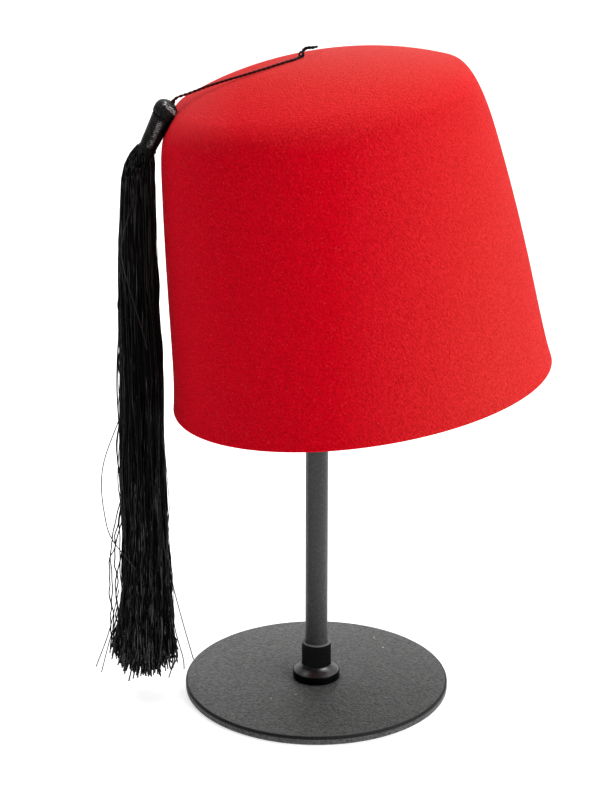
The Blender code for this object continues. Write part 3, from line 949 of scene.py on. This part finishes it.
def twisted_strand(name, route, steps, strand, colour, turns, sunk=None):
    """The mesh of a strand of two plies along a route, lowered where `sunk` says."""
    line = evenly_spaced(smooth_through(route, steps), strand.spacing)
    if sunk:
        line[:, 2] -= np.interp(line[:, 0], *sunk)
    thickness = np.interp(np.linspace(0.0, 1.0, len(line)), *strand.thickness)
    run = run_along(line)
    plies = [circled(line, strand.ply_offset * thickness,
                     math.tau * (run / strand.pitch + ply / PLIES)) for ply in range(PLIES)]
    material = thread_material(name + " thread", colour, turns=turns, plies=3.0)
    return threads(name, plies, [strand.ply_radius * thickness] * PLIES, 2, material)


class FEZ_OT_cord(Operator):
    """Lay the tassel's twisted cord over the crown"""

    bl_idname = "fez.cord"
    bl_label = "Tassel cord"

    # It swells where the ball's threads leave it.
    STRAND = Strand(0.00037, 0.00033, 0.0046, 0.00028,
                    ((0.0, 0.935, 0.965, 1.0), (1.0, 1.0, 1.45, 1.9)))
    SUNK = ((CORD_SUNK_UNTIL, 0.8 * CORD_SUNK_UNTIL), (0.0, CORD_SUNK))

    def execute(self, context):
        # The cord's colour carries painted red light reflected from the felt.
        mesh = twisted_strand("cord", [*CORD_ROUTE, CORD_TIP], 12, self.STRAND,
                              context.scene.fez_thread.cord, 120.0, self.SUNK)
        cord = add_piece("cord", mesh, ["tassel_cord"])
        return {"FINISHED"}


class FEZ_OT_knot(Operator):
    """Tie the cord's knot in the middle of the crown, with its short free end"""

    bl_idname = "fez.knot"
    bl_label = "Crown knot"

    STRAND = Strand(0.00029, 0.00025, 0.0034, 0.0002,
                    ((0.0, 0.55, 0.70, 0.92, 1.0), (0.9, 1.05, 1.65, 1.5, 0.85)))

    def execute(self, context):
        mesh = twisted_strand("knot", [*KNOT_ROUTE, *TAIL_ROUTE], 10, self.STRAND,
                              context.scene.fez_thread.black, 60.0)
        add_piece("knot", mesh, ["crown_knot"])
        return {"FINISHED"}


class FEZ_OT_felt(Operator):
    """Block the hat's felt with its nap"""

    bl_idname = "fez.felt"
    bl_label = "Felt"

    SEED = 7
    FIBRE_RADIUS = 0.000026
    FIBRE_ROOT = 0.00008            # how far a fibre starts below the surface
    FIBRE_SLOPE = (0.9, 1.45)       # radians from upright
    FIBRE_LENGTHS = (0.5, 1.3)      # shares of the nap's length
    FIBRE_FACES = ((0, 2, 1), (0, 1, 3), (1, 2, 3), (2, 0, 3))

    def execute(self, context):
        felt = context.scene.fez_felt
        outside = felt_material("felt outside", felt.red, felt.deep_red, felt.nap_red, 0.14)
        # The inside takes darker copies of the felt's reds: painted shade inside the hat.
        inside = felt_material("felt inside", felt.deep_red, shaded(felt.deep_red, 0.8),
                               felt.red, 0.12)
        mesh = finished(felt_bmesh(), "felt", [outside, inside], 50.0)
        add_piece("felt", mesh, ["felt_body"])
        if felt.nap_count:
            self.add_nap(mesh, felt)
        return {"FINISHED"}

    def roots(self, rng, mesh, count):
        """Random places all over the felt's outside, and the way out from each."""
        mesh.calc_loop_triangles()
        corners = read_all(mesh.loop_triangles, "vertices", width=3)
        owner = read_all(mesh.loop_triangles, "polygon_index")
        slot = read_all(mesh.polygons, "material_index")
        spots = read_all(mesh.vertices, "co", float, 3)[corners[slot[owner] == 0]]
        first, second = spots[:, 1] - spots[:, 0], spots[:, 2] - spots[:, 0]
        cross = np.cross(first, second)
        area = np.linalg.norm(cross, axis=1)
        chosen = rng.choice(len(area), count, p=area / area.sum())
        share = rng.random((2, count, 1))
        share = np.where(share.sum(axis=0) > 1.0, 1.0 - share, share)
        root = spots[chosen, 0] + share[0] * first[chosen] + share[1] * second[chosen]
        return root, cross[chosen] / area[chosen, None]

    def add_nap(self, mesh, felt):
        """Short loose fibres, each a closed needle of four faces."""
        rng = np.random.default_rng(self.SEED)
        count = felt.nap_count
        root, out = self.roots(rng, mesh, count)
        lean = rng.normal(0.0, 1.0, (count, 3))
        lean = unit(lean - (lean * out).sum(axis=1, keepdims=True) * out)
        slope = rng.uniform(*self.FIBRE_SLOPE, (count, 1))
        way = np.cos(slope) * out + np.sin(slope) * lean
        length = felt.nap_length * rng.uniform(*self.FIBRE_LENGTHS, (count, 1))
        aside = unit(np.cross(way, out))
        over = np.cross(aside, way)
        base = root - self.FIBRE_ROOT * out
        ring = [base + self.FIBRE_RADIUS * (math.cos(turn) * aside + math.sin(turn) * over)
                for turn in (0.0, math.tau / 3, math.tau * 2 / 3)]
        points = np.stack([*ring, root + length * way], axis=1).reshape(-1, 3)
        faces = np.array(self.FIBRE_FACES) + 4 * np.arange(count)[:, None, None]
        nap = bpy.data.meshes.new("felt_nap")
        nap.from_pydata(points.tolist(), [], faces.reshape(-1, 3).tolist())
        nap.materials.append(nap_material("felt nap", felt.nap_red))
        add_piece("felt_nap", nap)


class FEZ_OT_tassel_head(Operator):
    """Wind the tassel's ball and its bound neck"""

    bl_idname = "fez.tassel_head"
    bl_label = "Tassel head"

    BALL_THREADS = 34
    BALL_THREAD_RADIUS = 0.00058
    BALL_THREAD_POINTS = 22
    BALL_TWIST = 0.45
    NECK_THREAD_RADIUS = 0.00054
    NECK_PITCH = 0.00102
    NECK_TURN_POINTS = 24
    RELIEF = 0.00014
    CORE_SHRINK = 0.00060

    def wind(self, name, rows, share, turns, radius, material):
        """Lay threads about a row of beads, each by its turn at shares of the way along."""
        fine = smooth_through([row[:3] for row in rows], 8)
        radii = np.interp(np.linspace(0.0, 1.0, len(fine)), np.linspace(0.0, 1.0, len(rows)),
                          [row.radius for row in rows])
        run = run_along(fine)
        stops = share * run[-1]
        centre, reach = at_stops(stops, fine), np.interp(stops, run, radii) - radius
        lines = [circled(centre, reach, turn, BACK) for turn in turns]
        add_piece(name, threads(name, lines, radius, 3, material))

    def execute(self, context):
        black = context.scene.fez_thread.black
        core = round_body([*BALL_ROWS, *NECK_ROWS[1:]], 32, self.CORE_SHRINK)
        mesh = finished(core, "tassel_core", [heart_material("tassel heart", black)])
        add_piece("tassel_core", mesh, ["tassel_head"])

        share = np.linspace(0.0, 1.0, self.BALL_THREAD_POINTS)
        turns = [math.tau * number / self.BALL_THREADS + self.BALL_TWIST * share
                 for number in range(self.BALL_THREADS)]
        # Painted highlights on the ball's threads: paler streaks and a paler band.
        material = thread_material("ball thread", black, turns=10.0, relief=self.RELIEF,
                                   highlight_streaks=0.045, painted_highlight=BALL_HIGHLIGHT)
        self.wind("tassel_ball", BALL_ROWS, share, turns, self.BALL_THREAD_RADIUS, material)

        length = (Vector(NECK_ROWS[-1][:3]) - Vector(NECK_ROWS[0][:3])).length
        windings = length / self.NECK_PITCH
        share = np.linspace(0.0, 1.0, round(windings * self.NECK_TURN_POINTS))
        # Painted highlights on the neck's threads: paler streaks and a paler band.
        material = thread_material("neck thread", black, turns=400.0, relief=self.RELIEF,
                                   highlight_streaks=0.035, painted_highlight=NECK_HIGHLIGHT)
        self.wind("tassel_neck", NECK_ROWS, share, [math.tau * windings * share],
                  self.NECK_THREAD_RADIUS, material)
        return {"FINISHED"}


def waves(rng, count, heights, lengths):
    """Smooth random wander along the height, one row of -1 to 1 values for each thread."""
    total = np.zeros((count, heights.shape[-1]))
    for length in lengths:
        phase = rng.uniform(0.0, math.tau, (count, 1))
        stretch = rng.uniform(0.75, 1.3, (count, 1))
        total += np.sin(math.tau * heights * stretch / length + phase)
    return total / len(lengths)


class FEZ_OT_skirt(Operator):
    """Hang the tassel's long threads"""

    bl_idname = "fez.skirt"
    bl_label = "Tassel skirt"

    # Layers of strings, and the shares of the skirt's radius between which each layer lies.
    SEED = 11
    LAYERS = {"skirt_front": (0.90, 1.00), "skirt_middle": (0.80, 0.96),
              "skirt_inner": (0.66, 0.88)}
    POINTS = 56
    TOP = (0.2824, 0.2846)
    TIPS = (0.0122, 0.0190)
    SHORTER_SIDES = 0.0065
    THICKNESS = ((0.2200, TOP[0]), (1.0, 0.55))     # shares of a string's own, at two heights
    WANDER = (0.03, 0.24)           # turning about the skirt's axis at its top and its foot
    WANDER_WAVES = (0.09, 0.21)
    DRIFT = 0.07                    # wandering in and out at the foot, as a share of the radius
    DRIFT_WAVES = (0.07,)
    CRINKLE = ((0.50, 0.90), (0.00005, 0.00034))    # its size at shares of the way down
    CRINKLE_SPREAD = (0.4, 1.7)
    CRINKLE_WAVES_X, CRINKLE_WAVES_Y = (0.019, 0.0125), (0.017, 0.0115)
    CURL = 0.0016
    CURL_FROM = 0.91
    SPLAY = 0.10                    # widening of the very foot, as a share of its radius
    # The left is drawn in at these heights, by a share of its radius: loose strings hang there.
    DRAWN_IN = ((0.032, 0.052, 0.086, 0.112), (0.0, 0.20, 0.20, 0.0))

    BOWS = 0.30                     # share of the strings at the sides that bow out
    BOW_SIDES = 0.85                # how far to the side a string has to hang for that
    BOW_PLACE, BOW_REACH, BOW_SIZE = (0.03, 0.24), (0.008, 0.024), (0.0006, 0.0022)

    # A loose string, at shares of its fall: how far out it is, and how strongly it curls.
    LOOSE_SPACING = 0.0011
    LOOSE_OUT = ((0.0, 0.35), (0.55, 1.0))
    LOOSE_CURL = ((0.0, 0.3, 0.85, 1.0), (0.2, 0.8, 1.0, 1.8))
    LOOSE_PITCH = (0.0150, 0.0260)
    LOOSE_THINNESS = 0.9
    STRAY_RADIUS = 0.00027
    FLIES = 22                      # fine strings that lie over the skirt
    FLY_LAYER = (1.02, 1.08)
    FLY_RADIUS = 0.00016

    CORE_SHARE = 0.66
    CORE_BOTTOM = 0.0465

    def bowed(self, rng, turn, height):
        """How far each string at the skirt's sides bows out, along its height."""
        place, reach, size = (rng.uniform(*ends, turn.shape)
                              for ends in (self.BOW_PLACE, self.BOW_REACH, self.BOW_SIZE))
        bows = (rng.random(turn.shape) < self.BOWS) & (np.abs(np.cos(turn)) > self.BOW_SIDES)
        return bows * size * np.exp(-((height - place) / reach) ** 2)

    def layer(self, rng, count, reach):
        """Lines of strings whose share of the skirt's radius lies between two values."""
        table = SkirtRow(*np.array(SKIRT_ROWS)[::-1].T)
        top = rng.uniform(*self.TOP, (count, 1))
        turn = rng.uniform(0.0, math.tau, (count, 1))
        end = self.TIPS[0] + (self.TIPS[1] - self.TIPS[0]) * np.sqrt(rng.random((count, 1)))
        end = end + self.SHORTER_SIDES * np.abs(np.cos(turn)) ** 3
        height = top + (end - top) * np.linspace(0.0, 1.0, self.POINTS)[None]
        down = (top - height) / (top - self.TIPS[0])

        def at(column):
            return np.interp(height, table.z, column)

        bow = self.bowed(rng, turn, height)
        wander = self.WANDER[0] + (self.WANDER[1] - self.WANDER[0]) * down
        turn = turn + wander * waves(rng, count, height, self.WANDER_WAVES)
        size = 1.0 - at(table.groove) * (1.0 - np.abs(np.sin(LOCKS * turn / 2)))
        turn = turn + LOCK_WANDER * np.sin(height / SKIRT_ROWS[0].z * math.pi)
        share = rng.uniform(*reach, (count, 1))
        share = share + self.DRIFT * down * waves(rng, count, height, self.DRIFT_WAVES)
        left = np.clip(-np.cos(turn), 0.0, 1.0) ** 2
        drawn = np.interp(height, *self.DRAWN_IN)
        curl = np.clip((down - self.CURL_FROM) / (1.0 - self.CURL_FROM), 0.0, 1.0) ** 2
        size = size * (1.0 + self.SPLAY * curl)
        across = share * size * at(table.half_width) * (1.0 - drawn * left) + bow
        across = across * np.cos(turn)
        deep = share * size * at(table.half_depth) * np.sin(turn)

        crinkle = np.interp(down, *self.CRINKLE) * rng.uniform(*self.CRINKLE_SPREAD, (count, 1))
        curls = self.CURL * rng.normal(0.0, 1.0, (2, count, 1)) * curl
        lean = np.radians(at(table.lean_deg))
        x = at(table.x) + across * np.cos(lean) + curls[0]
        x = x + crinkle * waves(rng, count, height, self.CRINKLE_WAVES_X)
        y = TASSEL_Y + deep + curls[1]
        y = y + crinkle * waves(rng, count, height, self.CRINKLE_WAVES_Y)
        return np.stack([x, y, height - across * np.sin(lean)], axis=-1)

    def loose(self, rng, string):
        """The line of one loose string: it leaves the skirt, falls crinkled and ends in curls."""
        fall = np.linspace(0.0, 1.0, round(string.fall / self.LOOSE_SPACING))
        middle = SKIRT_ROWS[-1].x
        x = middle + (string.x - middle) * np.interp(fall, *self.LOOSE_OUT)
        height = string.z - string.fall * fall
        curl = string.curl * np.interp(fall, *self.LOOSE_CURL)
        phase = rng.uniform(0.0, math.tau, 4)
        turn = math.tau * string.fall * fall / rng.uniform(*self.LOOSE_PITCH)
        x = x + curl * (0.6 * np.sin(turn + phase[0]) + 0.4 * np.sin(1.7 * turn + phase[1]))
        y = string.y + curl * np.cos(turn + phase[2])
        return np.stack([x, y, height + 0.5 * curl * np.sin(turn + phase[3])], axis=-1)

    def execute(self, context):
        thread = context.scene.fez_thread
        radius = thread.diameter / 2
        rng = np.random.default_rng(self.SEED)

        # The dark heart keeps light from showing through the strings.
        rows = [Bead(row.x, TASSEL_Y, row.z, self.CORE_SHARE * row.half_width)
                for row in SKIRT_ROWS if row.z >= self.CORE_BOTTOM]
        heart = [heart_material("skirt heart", thread.black)]
        mesh = finished(round_body(rows, 24, 0.0), "skirt_core", heart)
        add_piece("skirt_core", mesh, ["tassel_skirt"])

        # The skirt's threads carry painted highlight streaks.
        material = thread_material("skirt thread", thread.black, turns=230.0, gloss=0.08,
                                   highlight_streaks=0.12)
        pieces = []
        for name, reach in self.LAYERS.items():
            lines = self.layer(rng, thread.count // len(self.LAYERS), reach)
            thickness = np.interp(lines[:, :, 2], *self.THICKNESS)
            pieces.append((name, lines, radius * thickness, material))

        hanging = [self.loose(rng, string) for string in LOOSE_STRINGS]
        pieces.append(("skirt_loose", hanging, self.LOOSE_THINNESS * radius, material))

        strays = [evenly_spaced(smooth_through(route, 8), 0.002) for route in STRAY_ROUTES]
        flies = self.layer(rng, self.FLIES, self.FLY_LAYER)
        radii = [self.STRAY_RADIUS] * len(strays) + [self.FLY_RADIUS] * self.FLIES
        dull = thread_material("stray thread", thread.stray, turns=60.0, gloss=0.15)
        pieces.append(("skirt_strays", [*strays, *flies], radii, dull))

        for name, lines, radii, made in pieces:
            add_piece(name, threads(name, lines, radii, 1, made))
        return {"FINISHED"}


class FEZ_OT_stand(Operator):
    """Turn and paint the stand's base, post and collar, and paint its head"""

    bl_idname = "fez.stand"
    bl_label = "Hat stand"

    BASE_SIDES = 192
    BASE_ROUND = 0.0011
    ARC = 0.45                      # the handles of a rounded corner, as shares of its size
    # The base's rounded edge is painted darker: a painted dark reflection.
    BASE_EDGE_PAINTED_SHADE = PaintedLight(0.0668, 0.0029, 0.010)
    POST_SIDES = 64
    POST_RADIUS = 0.00560
    POST_FOOT_RADIUS = 0.00578
    COLLAR_SIDES = 128
    COLLAR_RADIUS = 0.0076
    COLLAR_BORE = 0.0059
    COLLAR_EDGE = 0.0005
    FLANGE_HEIGHT = 0.0038
    BELL_HEIGHT = 0.0036
    BELL_FROM, BELL_TO = Vector((-0.0010, 0.0010)), Vector((0.0006, -0.0016))
    BELL_POINTS = 17
    # The collar's top rim is painted paler: a painted highlight.
    SLEEVE_RIM_PAINTED_HIGHLIGHT = 0.20
    # An eased edge's points, as shares of its size: in from the side and down from the top.
    FLANGE_EASE = ((0.0, 1.0), (0.15, 0.4), (0.5, 0.1))
    SLEEVE_EASE = ((0.0, 1.0), (0.15, 0.3), (0.5, 0.0))

    def base(self, paint):
        """A flat round plate with rounded edges."""
        low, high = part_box("stand_base")
        inward, upward = Vector((-self.BASE_ROUND, 0.0)), Vector((0.0, self.BASE_ROUND))
        outline = [(0.0, low.z)]
        for height, before, after in ((low.z, inward, upward), (high.z, -upward, inward)):
            corner = Vector((high.x, height))
            arc = interpolate_bezier(corner + before, corner + self.ARC * before,
                                     corner + self.ARC * after, corner + after, 5)
            outline += [tuple(spot) for spot in arc]
        outline.append((0.0, high.z))
        mesh = finished(turned(outline, self.BASE_SIDES), "base", [paint], 30.0)
        add_piece("base", mesh, ["stand_base"])

    def post(self, paint):
        """A round bar that widens a little towards its foot."""
        low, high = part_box("stand_post")
        outline = [(0.0, low.z), (self.POST_FOOT_RADIUS, low.z), (self.POST_RADIUS, high.z),
                   (0.0, high.z)]
        mesh = finished(turned(outline, self.POST_SIDES), "post", [paint], 30.0)
        add_piece("post", mesh, ["stand_post"])

    def eased(self, radius, top, shares):
        """The points of an eased edge of the collar."""
        return [(radius - aside * self.COLLAR_EDGE, top - down * self.COLLAR_EDGE)
                for aside, down in shares]

    def collar(self, paints):
        """A flanged sleeve. Its bell is polished and painted lighter, partly a painted highlight;
        the rest is plainly painted.
        """
        low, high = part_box("stand_collar")
        flange = low.z + self.FLANGE_HEIGHT
        bell_top = flange + self.BELL_HEIGHT
        foot = Vector((high.x - self.COLLAR_EDGE, flange))
        neck = Vector((self.COLLAR_RADIUS, bell_top))
        bell = interpolate_bezier(foot, foot + self.BELL_FROM, neck + self.BELL_TO, neck,
                                  self.BELL_POINTS)
        outline = [(self.COLLAR_BORE, low.z), (high.x, low.z),
                   *self.eased(high.x, flange, self.FLANGE_EASE),
                   *(tuple(spot) for spot in bell),
                   *self.eased(self.COLLAR_RADIUS, high.z, self.SLEEVE_EASE),
                   (self.COLLAR_BORE, high.z)]
        ring = turned(outline, self.COLLAR_SIDES, is_ring=True)
        mesh = finished(ring, "collar", paints)
        for face in mesh.polygons:
            outside = math.hypot(face.center.x, face.center.y) > self.COLLAR_RADIUS
            face.material_index = int(outside and flange < face.center.z < bell_top)
        add_piece("collar", mesh, ["stand_collar"])

    def execute(self, context):
        stand = context.scene.fez_stand
        # The collar's top rim gets a painted highlight.
        sleeve = PaintedLight(0.0010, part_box("stand_collar")[1].z - self.COLLAR_EDGE, self.SLEEVE_RIM_PAINTED_HIGHLIGHT)
        coat = paint_material("stand coat", stand.coat, 0.50, 0.00026, 0.30, grain_scale=800.0,
                              contrast=0.62, painted_light=self.BASE_EDGE_PAINTED_SHADE, is_dusty=True)
        post = paint_material("post coat", stand.post, 0.38, 0.00012, 0.40, contrast=0.40)
        # The bell is polished, and painted lighter as part of its highlight.
        polished = paint_material("polished coat", stand.bell, 0.32, 0.00003, 0.80)
        collar = paint_material("collar coat", stand.collar, 0.20, 0.00003, 0.09, painted_light=sleeve)
        self.base(coat)
        self.post(post)
        self.collar([collar, polished])
        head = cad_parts["stand_head"]
        head.data.materials.clear()
        head.data.materials.append(post)
        return {"FINISHED"}


# A broad soft light. Azimuth turns from the camera towards the right, and angles are in degrees.
Softbox = namedtuple("Softbox", "name azimuth height strength")


class FEZ_OT_stage(Operator):
    """Set a plain pale floor, a lit backdrop and soft studio light"""

    bl_idname = "fez.stage"
    bl_label = "Stage"

    FLOOR_SIZE = (16.0, 16.0)
    FLOOR_PLACE = (0.0, 0.0, -0.0002)   # just clear of the base, so their faces don't mingle
    BACKDROP_PLACE = (0.0, 2.6, 1.5)
    BACKDROP_SIZE = (8.0, 3.0)
    SPREAD = math.radians(45.0)
    SOFTBOXES = (
        Softbox("key", 60.0, 32.0, 2.02),
        Softbox("right", 95.0, 45.0, 0.76),
        Softbox("rear", 176.0, 40.0, 1.62),
        Softbox("top", 215.0, 76.0, 2.34),
    )

    def sheet(self, context, name, size, turn_deg, place, glow, gloss):
        """A flat sheet of pale paper that gives some light of its own."""
        colour = (*context.scene.fez_stage.floor, 1.0)
        paper, _ = new_material(name + " paper", Base_Color=colour, Roughness=0.9,
                                Specular_IOR_Level=gloss, Emission_Color=WHITE,
                                Emission_Strength=glow)
        bm = bmesh.new()
        turn = Matrix.Rotation(math.radians(turn_deg), 3, "X")
        spread = Matrix.LocRotScale(Vector(place), turn, Vector((*size, 1.0)))
        bmesh.ops.create_grid(bm, x_segments=1, y_segments=1, size=0.5, matrix=spread)
        sheet = bpy.data.objects.new(name, finished(bm, name, [paper]))
        context.scene.collection.objects.link(sheet)

    def softbox(self, context, box):
        """A sun of some spread, aimed at the hat."""
        light = bpy.data.lights.new(box.name, "SUN")
        light.energy = box.strength
        light.angle = self.SPREAD
        lamp = bpy.data.objects.new(box.name, light)
        height = math.radians(box.height)
        turn = Matrix.Rotation(math.radians(box.azimuth), 3, "Z")
        away = turn @ Vector((0.0, -math.cos(height), math.sin(height)))
        lamp.location = 2.0 * away
        lamp.rotation_euler = (-away).to_track_quat("-Z", "Y").to_euler()
        context.scene.collection.objects.link(lamp)

    def surround(self, context, brightness):
        """A room that is white to the camera and lights the hat only faintly."""
        world = bpy.data.worlds.new("surround")
        world.use_nodes = True
        tree = world.node_tree
        sky = tree.nodes["Background"]
        sky.inputs["Color"].default_value = WHITE
        seen = add_node(tree, "ShaderNodeLightPath").outputs["Is Camera Ray"]
        tree.links.new(maths(tree, "MAXIMUM", seen, brightness), sky.inputs["Strength"])
        context.scene.world = world

    def execute(self, context):
        stage = context.scene.fez_stage
        self.sheet(context, "floor", self.FLOOR_SIZE, 0.0, self.FLOOR_PLACE, stage.glow, 0.1)
        self.sheet(context, "backdrop", self.BACKDROP_SIZE, 90.0, self.BACKDROP_PLACE,
                   stage.backdrop, 0.5)
        self.surround(context, stage.surround)
        for box in self.SOFTBOXES:
            self.softbox(context, box)
        context.scene.view_settings.view_transform = "Standard"
        context.scene.view_settings.look = "Medium High Contrast"
        return {"FINISHED"}


class FEZ_PT_panel(Panel):
    """Lists the settings, and the pieces in the order that they are made"""

    bl_idname = "FEZ_PT_panel"
    bl_label = "Fez"
    bl_space_type = "VIEW_3D"
    bl_region_type = "UI"
    bl_category = "Fez"

    def draw(self, context):
        for settings in SETTINGS:
            group = getattr(context.scene, settings)
            box = self.layout.box()
            for name in group.__annotations__:
                box.prop(group, name)
        for maker in MAKERS:
            self.layout.operator(maker.bl_idname)


SETTINGS = {"fez_felt": FeltSettings, "fez_thread": ThreadSettings, "fez_stand": StandSettings,
            "fez_stage": StageSettings}
MAKERS = (FEZ_OT_camera, FEZ_OT_cord, FEZ_OT_knot, FEZ_OT_felt, FEZ_OT_tassel_head, FEZ_OT_skirt,
          FEZ_OT_stand, FEZ_OT_stage)


def register():
    for kind in (*SETTINGS.values(), *MAKERS, FEZ_PT_panel):
        bpy.utils.register_class(kind)
    for name, kind in SETTINGS.items():
        setattr(bpy.types.Scene, name, PointerProperty(type=kind))


def unregister():
    for name in SETTINGS:
        delattr(bpy.types.Scene, name)
    for kind in (FEZ_PT_panel, *reversed(MAKERS), *reversed(SETTINGS.values())):
        bpy.utils.unregister_class(kind)


def main():
    register()
    bpy.ops.fez.camera()
    bpy.ops.fez.cord()
    bpy.ops.fez.knot()
    bpy.ops.fez.felt()
    bpy.ops.fez.tassel_head()
    bpy.ops.fez.skirt()
    bpy.ops.fez.stand()
    bpy.ops.fez.stage()


if __name__ == "__main__":
    main()
